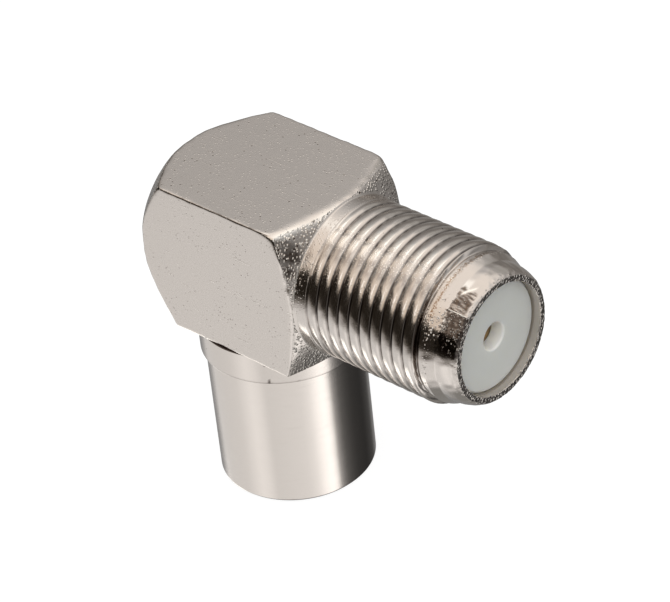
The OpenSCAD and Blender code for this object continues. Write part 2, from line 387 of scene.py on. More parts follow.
def whitePolyethylene(name, look):
    # polyethylene, moulded: milky and slightly translucent, soft edges to its shade
    material, tree, shader, spot = newMaterial(name)
    for socket, value in (("IOR", look["ior"]), ("Roughness", look["roughness"]),
                          ("Subsurface Weight", look["through"]), ("Subsurface Radius", look["reach"]),
                          ("Subsurface Scale", look["reachMm"] * mm)):
        shader.inputs[socket].default_value = value
    cloud = addNode(tree, "TexNoise", {}, {"Scale": 1 / (look["cloudMm"] * mm), "Detail": 3.0}, spot)
    tint = addNode(tree, "Mix", colourMix, {6: srgb(look["colour"]), 7: srgb(look["cloudColour"])},
                   {0: cloud.outputs["Fac"]})
    # painted light: whitens the colour beside the hole
    thin = addNode(tree, "Attribute", {"attribute_name": "thin"})
    tint = addNode(tree, "Mix", colourMix, {7: srgb(look["thinColour"])},
                   {0: thin.outputs["Fac"], 6: tint.outputs[2]})
    tree.links.new(tint.outputs[2], shader.inputs["Base Color"])
    return material


capWhite = whitePolyethylene("polyethyleneMoulded", whiteCapLook)

bronzeLook = {"colour": "#C8AD84", "stainColour": "#9A7E58", "roughness": 0.45, "stainMm": 0.6}


def springBronze(name, look):
    # phosphor bronze strip, drawn: brown gold, dull, with darker stains
    material, tree, shader, spot = newMaterial(name, metallic=1.0)
    shader.inputs["Roughness"].default_value = look["roughness"]
    stain = addNode(tree, "TexNoise", {}, {"Scale": 1 / (look["stainMm"] * mm), "Detail": 3.0}, spot)
    tint = addNode(tree, "Mix", colourMix, {6: srgb(look["colour"]), 7: srgb(look["stainColour"])},
                   {0: stain.outputs["Fac"]})
    tree.links.new(tint.outputs[2], shader.inputs["Base Color"])
    return material


contactBronze = springBronze("phosphorBronzeDrawn", bronzeLook)
print("materials made")

# the block: a square bar whose two ends are turned to cones about the jack's axis
block = {
    "halfWidth": 4.95, "halfHeight": 4.9, "backX": -5.9, "frontX": 6.25,
    "backR": 4.9, "frontR": 4.65, "backAngle": 45.0, "frontAngle": 25.6,
    "holeR": 4.2,  # where the front ends, hidden in the neck
    "edge": 0.05, "edgeUneven": 0.35,  # softness of the sharp edges, and how much it varies
    # softness of the worn edge in front of each flat, and between which x and radii it grows
    "frontEdge": 0.11, "frontEdgeX": (4.9, 5.9), "frontEdgeR": (6.4, 5.2),
    # what is added to it on top, and from where to where to the left and the right
    "topX": (4.2, 5.2), "topUp": (3.2, 4.4),
    "leftEdge": 0.08, "leftY": (0.5, -3), "rightEdge": 0.16, "rightY": (1.0, 4.4),
    "edgeLimits": (0.012, 0.26), "polishWide": 0.12,
    "lineWide": 0.055, "lineShade": 0.95,  # painted shade: a dark line along the left edge of the top
    "arcWide": 0.05, "arcReach": 0.08, "arcShade": 0.8,  # and round the back of the top
    # painted shade on the front cone and a painted highlight along its upper edge, from and to which angle
    "coneShadeAt": (131, 136, 150, 170), "lowConeShadeAt": (212, 220, 228, 240),
    "coneShadeR": (4.75, 5.3), "coneShadeDark": 0.9, "lowConeShade": 0.4,
    "edgeHighlightAt": (88, 96, 133, 138), "edgeHighlightAcross": (0.14, 0.27), "edgeHighlight": 0.95,
    "flatSmooth": 0.75,  # how free of pimples the side flats are
}


def blockSurface(p):
    # distance outside the sides, top and bottom, back face, back cone and front cone
    x, y, z = p[..., 0], p[..., 1], p[..., 2] - jackZ
    r = np.hypot(y, z)
    back, front = math.radians(block["backAngle"]), math.radians(block["frontAngle"])
    return np.stack([
        np.abs(y) - block["halfWidth"],
        np.abs(z) - block["halfHeight"],
        block["backX"] - x,
        (r - block["backR"]) * math.cos(back) - (x - block["backX"]) * math.sin(back),
        (r - block["frontR"]) * math.sin(front) + (x - block["frontX"]) * math.cos(front),
    ], -1)


def softMax(d, k):
    top = d.max(-1)
    return top + k * np.log(np.exp((d - top[..., None]) / k[..., None]).sum(-1))


def blockGrid():
    # rows and columns crowd together beside every edge
    b = block
    corner = math.atan2(b["halfHeight"], b["halfWidth"])
    beside = np.array([0.25, 0.45, 0.7, 1, 1.4, 2, 3]) * 0.012
    theta = list(np.linspace(0, 2 * math.pi, 400, endpoint=False))
    for c in (corner, math.pi - corner, math.pi + corner, 2 * math.pi - corner):
        theta += list(c + np.r_[-beside[::-1], 0, beside])
    theta = np.sort(np.array(theta))
    theta = theta[np.r_[True, np.diff(theta) > 0.0015]]
    q = np.minimum(b["halfWidth"] / np.maximum(np.abs(np.cos(theta)), 1e-9),
                   b["halfHeight"] / np.maximum(np.abs(np.sin(theta)), 1e-9))
    backEnd = b["backX"] + (q - b["backR"]) / math.tan(math.radians(90 - b["backAngle"]))
    frontEnd = b["frontX"] - (q - b["frontR"]) * math.tan(math.radians(b["frontAngle"]))
    near = np.array([0.02, 0.05, 0.09, 0.14, 0.2, 0.28, 0.4])
    far = np.array([0.7, 0.6, 0.5, 0.4, 0.32, 0.25, 0.19, 0.14, 0.1, 0.07, 0.04, 0.02, 0])
    backRows = [0, .015, .035, .06, .1, .15, .22, .3, .4, .5, .6, .7, .78, .85, .9, .94, .965, .985, 1]
    frontRows = [.03, .07, .12, .18, .25, .33, .42, .52, .62, .72, .82, .91, 1]
    rows = [(b["backX"] + 0 * q, r + 0 * q)
            for r in np.r_[np.linspace(0.02, b["backR"] - 0.5, 10), b["backR"] - near[::-1]]]
    rows += [(b["backX"] + (backEnd - b["backX"]) * t, b["backR"] + (q - b["backR"]) * t) for t in backRows]
    rows += [(backEnd + (frontEnd - backEnd) * t, q)
             for t in np.r_[near / 10, np.linspace(0.055, 0.92, 36), 1 - far / 10]]
    rows += [(frontEnd + (b["frontX"] - frontEnd) * t, q + (b["frontR"] - q) * t) for t in frontRows]
    rows.append((b["frontX"] + 0 * q, b["holeR"] + 0 * q))
    x, r = (np.array(values) for values in zip(*rows))
    return theta[None, :], x, r, backEnd[None, :], frontEnd[None, :]


def makeBlock():
    b = block
    theta, x, r, backEnd, frontEnd = blockGrid()
    centre = np.array([0, 0, jackZ])
    ray = aboutJack(x, r, theta) - centre
    y, up = ray[..., 1], ray[..., 2]
    # softer edge in front of the flats, and small changes along every edge
    uneven = periodicNoise(theta, x * 2.2, 11, around=40, along=2.5)
    frontness = smoothStep(*b["frontEdgeX"], x) * smoothStep(*b["frontEdgeR"], r)
    topFront = smoothStep(*b["topX"], x) * smoothStep(*b["topUp"], up)
    left, right = b["leftEdge"] * smoothStep(*b["leftY"], y), b["rightEdge"] * smoothStep(*b["rightY"], y)
    k = b["edge"] * (1 + b["edgeUneven"] * uneven) + (b["frontEdge"] - b["edge"]) * frontness
    k = k + topFront * (left + right)
    k = np.clip(k, *b["edgeLimits"])
    # halving steps along each ray find the softened surface
    low, high = np.full(x.shape, 0.8), np.full(x.shape, 1.02)
    for _ in range(26):
        mid = (low + high) / 2
        outside = softMax(blockSurface(centre + ray * mid[..., None]), k) > 0
        high, low = np.where(outside, mid, high), np.where(outside, low, mid)
    pts = centre + ray * ((low + high) / 2)[..., None]
    d = blockSurface(pts)
    side, top, back, backCone, frontCone = np.moveaxis(d, -1, 0)
    order = np.sort(d, -1)
    edge = hump(order[..., -1] - order[..., -2], 0, b["polishWide"])
    # painted shade: a thin dark line where the left flat meets the top, and round the back of the top
    y, up = pts[..., 1], pts[..., 2] - jackZ
    width = b["lineWide"] * (1 + 0.5 * periodicNoise(theta * 0 + 1.0, x, 17, around=5, along=9))
    onLeft = (y < 0) & (up > 0) & (x > backEnd - 0.05) & (x < frontEnd - 0.25)
    dirtAndShade = b["lineShade"] * hump(np.abs(side - top - 0.02 * uneven), 0, np.maximum(width, 0.02)) * onLeft
    onBack = (up > 0) & (y < 2.5) & (pts[..., 0] < -2)
    patchy = blotches(0.5, 0.9, periodicNoise(theta, x, 19, around=40, along=3))
    arc = hump(np.abs(top - backCone), 0, b["arcWide"]) * hump(top, 0, b["arcReach"]) * onBack * patchy
    dirtAndShade = np.maximum(dirtAndShade, b["arcShade"] * arc)
    # painted shade on the front cone, and a painted highlight along its upper edge
    deg, far = np.degrees(theta), np.hypot(y, up)
    coneShade = band(deg, *b["coneShadeAt"]) + b["lowConeShade"] * band(deg, *b["lowConeShadeAt"])
    coneShade = coneShade * smoothStep(*b["coneShadeR"], far + 0.15 * uneven) * (frontCone > -0.05)
    coneShade = coneShade * blotches(0.8, 0.4, uneven)
    dirtAndShade = np.maximum(dirtAndShade, b["coneShadeDark"] * coneShade * (x > 0))
    # painted highlight along the upper edge of the front cone, whitening its colour
    polishAndHighlight = band(deg, *b["edgeHighlightAt"]) * blotches(0.7, 0.6, uneven) * (x > 0)
    paintedHighlight = b["edgeHighlight"] * polishAndHighlight * hump(frontCone - top, *b["edgeHighlightAcross"]) * (top > -0.5)
    piece = addMesh("blockCasting", pts, flatNickel, flip=True,
                    layers={"edge": edge, "dirtAndShade": dirtAndShade * (1 - paintedHighlight), "paintedHighlight": paintedHighlight,
                            "smooth": b["flatSmooth"] * (np.abs(side) < 0.01)})
    inFront = (frontCone > side) & (frontCone > top)
    behind = (backCone > side) & (backCone > top) & (backCone > back)
    secondMaterial(piece, roughNickel, (inFront[:-1] & inFront[1:]) | (behind[:-1] & behind[1:]))
    return piece


blockPiece = makeBlock()
print("block made: %d faces" % len(blockPiece.data.polygons))

# the collar under the block
collar = {
    "r": 5.048, "low": 9.11, "high": 11.05, "innerR": (4.3, 4.6), "lip": 0.06, "topLip": 0.05,
    "seamWide": 0.05, "seamDark": 0.9, "topShadeAndChipDark": 0.95,
    "burrs": ((-57.0, 2.4, 0.42), (-37.0, 1.4, 0.15)),  # small chips beside the seam: angle, width, height
}


def makeCollar():
    c = collar
    z, r = columns(roundedProfile([
        (c["low"], c["innerR"][0], 0), (c["low"], c["r"], c["lip"]),
        (c["high"], c["r"], c["topLip"]), (c["high"], c["innerR"][1], 0)], steps=7, spacing=0.12))
    theta = aroundAxis(240)
    r = np.minimum(r + 0.003 * periodicNoise(theta, z, 5), c["r"])
    dirtAndShade = c["seamDark"] * hump(z, c["low"], c["seamWide"])
    # painted shade along the top edge, under the block; the same darkness marks the chips below
    dirtAndShade = np.maximum(dirtAndShade, c["topShadeAndChipDark"] * (z > c["high"] - 0.03)) + 0 * theta
    for angle, wide, tall in c["burrs"]:
        away = np.abs(halfTurnDegrees(theta) - angle) + (z - c["low"]) * wide / tall
        dirtAndShade = np.maximum(dirtAndShade, c["topShadeAndChipDark"] * smoothStep(wide, wide * 0.5, away))
    addMesh("collarCasting", aboutPlug(z, r, theta), collarNickel, {"dirtAndShade": dirtAndShade})


makeCollar()

# the thread: broad crests with narrow shallow grooves, wound right-handed
thread = {
    "crestR": 4.7625, "pitch": 0.79375, "reliefR": 4.36,
    "firstX": 5.0, "lastX": 15.6,  # the mesh runs on into the neck and the nose
    "start": 7.05, "finish": 14.88,  # between these the grooves show
    "phase": 8.91 - 0.79375 * 135 / 360,  # middle of one crest where theta is 0
    "ridge": 0.098,  # how far each crest falls away to its two sides
    "top": 0.62,  # where along the pitch it stands highest
    "groove": 0.055, "grooveWide": 0.04,  # sharp groove left between two crests
    # where the two halves of the mould met, in degrees, and how much of the depth is lost there
    "seamAt": (119.0, 301.0), "seamWide": 7.0, "seamFill": 0.45,
    "stepAt": 111, "stepWide": 1.1, "stepDeep": 0.02, "stepWander": 1.2,  # small step beside the upper seam
    "dent": 0.007, "ripple": 0.0025,  # shallow dents of the casting, slow and fine
    # painted shade in the grooves: middle and width along the pitch, and from and to which angle it fills them
    "grooveShade": 0.97, "grooveShadeBand": (0.015, 0.08), "seamShadeCut": 0.4,
    "shadedSideBand": (0.01, 0.1), "shadedSideAt": (132, 146, 170, 184),
    "dullAfter": 8, "dullWide": 6.5, "dullDark": 0.42,  # grey band past each seam
    # grains along each seam, and a weaker band of them past it
    "gritBefore": 2, "gritWide": 12, "lateGritAfter": 22, "lateGritWide": 6, "lateGrit": 0.6,
    # painted highlight strokes on the crests: angle and width, place and width along the pitch
    "strokeAt": (117.5, 4.6), "strokeAlong": (0.5, 0.24), "strokeEnds": (12.3, 10.2), "strokeHighlight": 0.85,
    "gentleAt": (103.5, 6.5), "gentleAlong": (0.56, 0.27), "gentleShare": 0.55,
}
shoulderX = 15.17  # here the thread ends and the nose begins


def threadProfile():
    # one pitch, from the middle of a groove: (offset, depth below the crest)
    pitch, top = thread["pitch"], thread["top"]
    t = np.r_[0, 0.02, 0.04, 0.065, 0.095, 0.13, 0.18, np.linspace(0.24, 0.76, 9),
              0.82, 0.87, 0.905, 0.935, 0.96, 0.98]
    depth = thread["ridge"] * np.where(t < top, np.abs(1 - t / top) ** 1.7, ((t - top) / (1 - top)) ** 2)
    gap = np.minimum(t, 1 - t) * pitch
    return t * pitch, depth + thread["groove"] * hump(gap, 0, thread["grooveWide"])


def makeThread():
    s, pitch = thread, thread["pitch"]
    offset, depth = threadProfile()
    before = int((s["phase"] - s["firstX"]) / pitch)
    startX = s["phase"] - (before + 0.5) * pitch
    turns = int((s["lastX"] - startX) / pitch) + 1
    # rows run along the axis, and one full turn moves each row on by one pitch
    rows = np.r_[np.concatenate([offset + k * pitch for k in range(turns)]), turns * pitch][:, None]
    depth = np.r_[np.tile(depth, turns), depth[0]][:, None]
    theta = np.linspace(0, 2 * math.pi, 301)[None, :]
    x = startX + rows + pitch * theta / (2 * math.pi)
    deg = np.degrees(theta)
    show = smoothStep(s["start"] - 0.12, s["start"] + 0.1, x)
    seam = sum(hump(deg, a, s["seamWide"], 4) for a in s["seamAt"])
    fill = 1 - s["seamFill"] * seam * (0.7 + 0.3 * periodicNoise(theta, x, 3, around=60, along=6))
    r = s["crestR"] - depth * show * np.clip(fill, 0.2, 1)
    wander = s["stepWander"] * periodicNoise(theta * 0, x, 8, along=5)
    r = r - s["stepDeep"] * hump(deg - wander, s["stepAt"], s["stepWide"]) * show
    r = r - s["dent"] * np.abs(periodicNoise(theta, x, 9, around=30, along=4))
    r = r - s["ripple"] * np.abs(periodicNoise(theta, x, 10, waves=50, around=140, along=22))
    ending = smoothStep(s["finish"], s["finish"] + 0.07, x)
    r = np.minimum(r, s["crestR"] * (1 - ending) + s["reliefR"] * ending)
    r = r - 0.5 * smoothStep(shoulderX, shoulderX + 0.15, x)  # the rest lies inside the nose
    # painted shade lies in each groove and on the side of the crest beside it
    along = np.r_[np.tile(offset, turns), 0][:, None]
    along = np.where(along > pitch * 0.7, along - pitch, along)
    dirtAndShade = s["grooveShade"] * hump(along, *s["grooveShadeBand"]) * show * (1 - s["seamShadeCut"] * seam)
    dirtAndShade = dirtAndShade * blotches(0.8, 0.35, periodicNoise(theta, x, 12, around=50, along=5))
    # between the given angles the painted shade spreads wider across the grooves
    dirtAndShade = np.maximum(dirtAndShade, band(deg, *s["shadedSideAt"]) * hump(along, *s["shadedSideBand"], 4) * show)
    dull = sum(hump(deg, a + s["dullAfter"], s["dullWide"], 4) for a in s["seamAt"])
    dull = dull * blotches(0.75, 0.5, periodicNoise(theta, x, 14, around=40, along=16))
    dirtAndShade = np.maximum(dirtAndShade, s["dullDark"] * dull)
    # the skin is coarse only along the band where the mould parted
    grit = sum(hump(deg, a - s["gritBefore"], s["gritWide"], 4)
               + s["lateGrit"] * hump(deg, a + s["lateGritAfter"], s["lateGritWide"]) for a in s["seamAt"])
    grit = np.clip(grit, 0, 1) * np.clip(1 + 0.5 * periodicNoise(theta, x, 16, around=40, along=3), 0.3, 1)
    # painted highlight on the first crests just past the parting line, and a gentler one beside it
    stroke = hump(deg, *s["strokeAt"], 4) * hump(along / pitch, *s["strokeAlong"], 4)
    stroke = stroke * smoothStep(*s["strokeEnds"], x)
    stroke = stroke * blotches(0.8, 0.5, periodicNoise(theta * 0, x, 15, along=30))
    gentle = hump(deg, *s["gentleAt"], 4) * hump(along / pitch, *s["gentleAlong"], 4)
    stroke = np.maximum(stroke, s["gentleShare"] * gentle)
    return addMesh("threadCasting", aboutJack(x, r, theta), threadNickel,
                   flip=True, closedAround=False,
                   layers={"dirtAndShade": dirtAndShade * (1 - stroke), "smooth": 1 - 0.9 * grit,
                           "paintedHighlight": s["strokeHighlight"] * stroke})


threadPiece = makeThread()
print("thread made: %d faces" % len(threadPiece.data.polygons))

# the neck between the block and the thread
neck = {
    "r": 4.775, "to": 6.97, "topR": 4.88, "innerR": 4.6, "fillet": 0.22,
    "hidden": 0.02,  # how far its first row dips into the block
    "uneven": 0.004,
    "smooth": 0.75, "grit": 0.7, "gritAt": (136, 20),  # share, and its middle and width in degrees
}

# the nose after the thread, with its shoulder, its bevel and the ring round the mouth
nose = {
    "innerR": (4.2, 4.3), "shoulderR": 4.48, "bevelX": 15.58, "rootX": 16.12, "rootR": 4.2,
    "middle": (16.55, 4.17), "tipX": 16.94, "tipR": 4.07, "rimStart": (17.24, 3.94), "rimR": 3.8,
    "boreR": 3.42, "boreDepth": 1.5,
    "uneven": 0.008, "rimChip": 0.018, "rimUneven": 0.012,
    # thin fins at the parting line: angles, their shares, height, width and the stretch they run along
    "finAt": (131.0, 311.0), "finShare": (1.0, 0.35), "finHigh": 0.05, "finWide": 0.42,
    "finAlong": (16.0, 16.25, 17.2, 17.36),
    "scuffAt": (111.0, 130.5), "scuffAlong": (16.1, 17.22),  # rubbed patch
    "scuffDeep": 0.012, "scuffDark": 0.95, "scuffStain": 0.25,
    "goldX": 15.5, "goldWide": 0.09, "goldAt": (50, 60, 138, 150),  # worn line behind the bevel
    "noseShadeAt": (130.5, 131.5, 160, 172), "noseShadeFrom": (15.9, 16.35), "noseShadeDark": 0.97,
    "gritAt": (138, 24), "gritFrom": (15.3, 15.7),
    "shoulderGrit": 0.7, "shoulderGritAt": (15.55, 0.15),
    # painted highlight, a slanted streak: angle at which x, degrees for each millimetre back, width and stretch
    "streakHighlightAt": 109.5, "streakHighlightX": 16.75, "streakHighlightSlant": 18, "streakHighlightWide": 1.6,
    "streakHighlightAlong": (16.3, 16.45, 16.85, 17.0),
}


def noseAngles():
    # more columns where the thin fins stand
    theta = list(np.linspace(0, 360, 360, endpoint=False))
    for a in nose["finAt"]:
        theta += list(a + np.linspace(-2.0, 2.0, 21))
    return np.radians(np.unique(np.round(theta, 3)))[None, :]


def makeNeck():
    n = neck
    slope = math.tan(math.radians(block["frontAngle"]))
    profile = roundedProfile([
        (block["frontX"] - (n["topR"] - block["frontR"]) * slope + 0.004, n["topR"], 0),
        (block["frontX"] - (n["r"] - block["frontR"]) * slope + 0.012, n["r"], n["fillet"]),
        (n["to"], n["r"], 0.02), (n["to"] + 0.01, n["innerR"], 0)], steps=8, spacing=0.12)
    profile[0, 0] -= n["hidden"]
    theta = noseAngles()
    x, r = columns(profile)
    r = r + n["uneven"] * periodicNoise(theta, x, 21) * (x > 6.0)
    smooth = n["smooth"] - n["grit"] * hump(np.degrees(theta), *n["gritAt"]) + 0.2 * periodicNoise(theta, x, 22)
    addMesh("neckCasting", aboutJack(x, r, theta), noseNickel, flip=True,
            layers={"smooth": np.clip(smooth, 0, 1)})


def makeNose():
    n = nose
    profile = roundedProfile([
        (shoulderX - 0.3, n["innerR"][0], 0), (shoulderX - 0.02, n["innerR"][1], 0),
        (shoulderX, n["shoulderR"], 0.05), (n["bevelX"], n["shoulderR"], 0.09),
        (n["rootX"], n["rootR"], 0.25), (*n["middle"], 1.6), (n["tipX"], n["tipR"], 1.2), (*n["rimStart"], 0.6),
        (mouthX, n["rimR"], 0.04), (mouthX, n["boreR"], 0.06), (mouthX - n["boreDepth"], n["boreR"], 0)],
        steps=6, spacing=0.09)
    theta = noseAngles()
    deg = np.degrees(theta)
    x, r = columns(profile)
    outer = (r > n["rimR"] - 0.02) & (x > n["rootX"] - 0.1)
    fin = sum(share * hump(deg, a, n["finWide"]) for a, share in zip(n["finAt"], n["finShare"]))
    fin = fin * band(x, *n["finAlong"]) * outer
    r = r + n["finHigh"] * fin * np.clip(0.9 + 0.5 * periodicNoise(theta * 0, x, 37, along=20), 0.2, 1.2)
    wave = periodicNoise(theta, x, 31, around=50, along=5)
    r = r + n["uneven"] * wave * (r > n["boreR"] + 0.2) * (x < mouthX - 0.1)
    # the ring round the mouth is chipped
    rough = periodicNoise(theta, r * 3, 33, around=60, along=4)
    rough = rough + 0.6 * periodicNoise(theta, r * 5, 34, around=150, along=6)
    onRim = (x > mouthX - 0.03) & (r > n["boreR"] + 0.1)
    x = x + n["rimChip"] * np.clip(rough - 0.3, -2.5, 0) * onRim
    besideRim = (x > mouthX - 0.25) & (r > n["rimR"] - 0.05)
    r = r + n["rimUneven"] * np.clip(rough, -2, 1) * (onRim | besideRim)
    # rubbed patch with streaks, between ragged edges
    ragged = 3.0 * periodicNoise(theta * 0, x, 41, along=9)
    ragged = ragged + 2.0 * periodicNoise(theta, x, 42, around=90, along=14)
    (a0, a1), (x0, x1) = n["scuffAt"], n["scuffAlong"]
    scuff = smoothStep(a0 - 2, a0 + 2, deg + ragged) * smoothStep(a1 + 0.6, a1 - 0.6, deg) * outer
    scuff = scuff * smoothStep(x0, x0 + 0.1, x + ragged * 0.03) * smoothStep(x1, x1 - 0.1, x + ragged * 0.02)
    streak = blotches(0.82, 0.9, periodicNoise(theta, x * 0.5, 43, around=160, along=9))
    r = r - n["scuffDeep"] * scuff * streak
    gold = hump(x + 0.02 * ragged, n["goldX"], n["goldWide"]) * (r > 4.3) * band(deg, *n["goldAt"])
    # painted shade on the side under the scuff, with grains whose tops carry painted highlights
    fine = periodicNoise(theta, x, 44, waves=40, around=160, along=18)
    d0, d1, d2, d3 = n["noseShadeAt"]
    noseShade = smoothStep(d0, d1, deg) * smoothStep(d3, d2, deg + ragged) * outer
    noseShade = noseShade * smoothStep(*n["noseShadeFrom"], x + 0.05 * ragged + 0.25 * fine)
    noseShade = noseShade * blotches(1.0, 0.3, fine)
    dirtAndShade = np.maximum(n["scuffDark"] * scuff * streak, n["noseShadeDark"] * noseShade)
    grit = hump(deg, *n["gritAt"], 4) * smoothStep(*n["gritFrom"], x + 0.05 * ragged)
    grit = np.maximum(grit, n["shoulderGrit"] * hump(x, *n["shoulderGritAt"]) * (deg < 200))
    grit = np.maximum(grit, x > mouthX - 0.12)
    streakHighlight = hump(deg, n["streakHighlightAt"] + n["streakHighlightSlant"] * (n["streakHighlightX"] - x), n["streakHighlightWide"])
    streakHighlight = streakHighlight * band(x, *n["streakHighlightAlong"]) * outer
    # painted highlight along the slanted streak and along the upper fin
    piece = addMesh("noseCasting", aboutJack(x, r, theta), noseNickel, flip=True,
                    layers={"dirtAndShade": dirtAndShade * (1 - fin), "edge": fin,
                            "stain": np.maximum(gold, n["scuffStain"] * scuff), "smooth": 1 - grit + 0 * r,
                            "paintedHighlight": np.clip(0.9 * streakHighlight + 0.8 * fin * (deg < 200), 0, 1)})
    ring = (profile[:-1, 0] > mouthX - 0.06) & (profile[:-1, 1] > n["boreR"] + 0.01)
    secondMaterial(piece, rimNickel, np.repeat(ring, theta.shape[1]))


makeNeck()
makeNose()
print("neck and nose made")

# the plug's sleeve
sleeve = {
    "boreR": 4.15, "gripR": 3.6, "gripZ": 8.4, "gripDeep": 3.2, "high": 9.1, "lead": 0.18,
    "seamDark": 0.9, "seamWide": 0.05, "markDark": 0.7, "markTall": 0.07,
    # small marks on the lower edge: angle, width, height
    "marks": ((-52, 1.6, 0.12), (-108, 2.5, 0.1), (-98, 1.2, 0.12), (-31, 1.0, 0.1)),
}


def makeSleeve():
    s = sleeve
    z, r = columns(roundedProfile([
        (s["gripZ"] + s["gripDeep"], s["gripR"], 0), (s["gripZ"], s["gripR"], 0.1),
        (s["gripZ"], s["boreR"], 0.05), (0.0, s["boreR"], 0.08),
        (0.0, sleeveR - s["lead"], 0.05), (s["lead"], sleeveR, 0.12), (0.6, sleeveR, 0),
        (s["high"] - 0.3, sleeveR, 0), (s["high"] - 0.03, sleeveR, 0.05), (s["high"], sleeveR - 0.15, 0)],
        steps=6, spacing=0.1))
    theta = aroundAxis(320)
    dirtAndShade = s["seamDark"] * hump(z, s["high"], s["seamWide"]) + 0 * theta
    for angle, wide, up in s["marks"]:
        mark = hump(halfTurnDegrees(theta), angle, wide) * hump(z, up, s["markTall"]) * (r > 4.5)
        dirtAndShade = np.maximum(dirtAndShade, s["markDark"] * mark)
    return addMesh("sleeveTurned", aboutPlug(z, r, theta), sleeveNickel,
                   {"dirtAndShade": dirtAndShade}, flip=True)


sleevePiece = makeSleeve()

# the white cap in the jack's mouth
cap = {
    "r": capHigh[1], "faceX": capHigh[0], "backX": capLow[0], "edge": 0.12,
    "holeR": 0.82, "holeLip": 0.09, "thinFrom": 0.12, "thinTo": 0.02,  # painted light on the thin wall, out from the hole
}


def makeCap():
    c = cap
    x, r = columns(roundedProfile([
        (c["backX"], c["holeR"], 0), (c["faceX"] - 0.08, c["holeR"], 0.08),
        (c["faceX"], c["holeR"] + c["holeLip"], 0.06), (c["faceX"], c["r"] - c["edge"], 0.06),
        (c["faceX"] - c["edge"], c["r"], 0.05), (c["backX"], c["r"], 0)], steps=6, spacing=0.25))
    theta = aroundAxis(200)
    thin = smoothStep(c["holeR"] + c["thinFrom"], c["holeR"] + c["thinTo"], r) + 0 * theta
    return addMesh("capMoulded", aboutJack(x, r, theta), capWhite, {"thin": thin})


capPiece = makeCap()
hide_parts("elbow_body")
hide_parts("plug_sleeve")
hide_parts("jack_cap")
for nodeName, material, slotName in (("jack_insulator", capWhite, "white_polyethylene"),
                                     ("plug_insulator", capWhite, "white_polyethylene"),
                                     ("plug_pin", sleeveNickel, "nickel_plated_brass"),
                                     ("jack_contact", contactBronze, "spring_bronze")):
    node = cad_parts[nodeName]
    node.data.materials.clear()
    node.data.materials.append(material)
print("sleeve, cap and inner pieces made")

# angles in degrees, the rest in millimetres
camera = {
    "azimuth": 45.70, "elevation": 35.05, "roll": -6.38, "distance": 186.1,
    "lens": 171.94, "sensor": 36.0, "target": (4.63, 0.0, 13.37),
}


def direction(azimuth, elevation):
    az, el = math.radians(azimuth), math.radians(elevation)
    return Vector((math.cos(az) * math.cos(el), math.sin(az) * math.cos(el), math.sin(el)))


def placeCamera():
    c = camera
    # azimuth 0 looks along +Y, and a larger one moves the camera towards +X
    back = direction(c["azimuth"] - 90, c["elevation"])
    side = direction(c["azimuth"], 0)
    up = back.cross(side)
    roll = math.radians(c["roll"])
    right = math.cos(roll) * side + math.sin(roll) * up
    top = -math.sin(roll) * side + math.cos(roll) * up
    data = bpy.data.cameras.new("studioCamera")
    data.lens, data.sensor_width = c["lens"], c["sensor"]
    data.clip_start, data.clip_end = 0.01, 10.0
    obj = addObject("studioCamera", data)
    place = (Vector(c["target"]) + back * c["distance"]) * mm
    obj.matrix_world = Matrix.Translation(place) @ Matrix((right, top, back)).transposed().to_4x4()
    bpy.context.scene.camera = obj


placeCamera()

# the studio: white all round for the camera, a soft tent with darker sides in the metal
studio = {
    "fill": 0.74,  # level of the soft light from all round
    # (azimuth, level) below the horizon
    "low": [(-180, 0.83), (-152, 0.88), (-128, 0.95), (-104, 1.2), (-92, 1.13), (-80, 0.94), (-44, 1.02),
            (-32, 1.06), (-20, 1.2), (-8, 1.55), (4, 1.8), (12, 1.45), (16.5, 0.45), (28, 0.145), (40, 0.08),
            (52, 0.05), (76, 0.035), (100, 0.08), (115, 0.25), (140, 0.28), (160, 0.32), (172, 0.5),
            (180, 0.83)],
    # (elevation, level) on the side to the left of the camera
    "left": [(-90, 0.9), (-36, 0.8), (-28, 0.5), (-20, 0.22), (-14, 0.04), (-10, 0.015), (18, 0.012),
             (24, 0.85), (42, 0.96), (48, 1.06), (60, 1.15), (90, 1.1)],
    # (elevation, level) on the far side
    "far": [(-90, 0.3), (-12, 0.29), (4, 0.2), (14, 0.26), (23, 0.4), (33, 0.54), (40, 0.75), (47, 0.93),
            (52, 1.05), (60, 1.15), (90, 1.1)],
    # (elevation, level) on the side the jack points to
    "right": [(-90, 0.04), (-28, 0.06), (-18, 0.3), (0, 0.3), (8, 0.32), (15, 0.42), (25, 0.6), (40, 0.85),
              (50, 1.05), (60, 1.15), (90, 1.1)],
    # (azimuth, share) of the left and right sides
    "leftSide": [(-180, 0.9), (-165, 1.0), (-50, 1.0), (-10, 0.0), (150, 0.0), (180, 0.9)],
    "rightSide": [(-60, 0.0), (-25, 1.0), (60, 1.0), (95, 0.0)],
    # brown shade of some of those stops
    "warmth": {"left": {-20: 0.1, -14: 0.22, -10: 0.3, 18: 0.3, 24: 0.14, 42: 0.1, 48: 0.06},
               "far": {-12: 0.04, 4: 0.05, 14: 0.05, 23: 0.02}},
    "below": (-15, -34),  # elevations between which the sides give way to the part below
    "warmTop": (36, 58), "warmShare": 0.05,  # elevations between which the tent turns warmer
    # lamps and flags: (azimuth, elevation, radius, level, share of the radius that is full)
    "patches": [(-172, 22, 13, 0.35, 0.3), (102, 34, 16, 0.5, 0.35), (168, 62, 14, 1.6, 0.4),
                (-120, 30, 9, 2.0, 0.3), (166, -47, 9, 2.2, 0.4), (-178, -47, 9, 2.4, 0.4),
                (-161, -49, 9, 2.2, 0.4), (0, -90, 36, 0.3, 0.35), (-28, -5, 26, 0.4, 0.5)],
    "patchWarmth": 0.03,
}


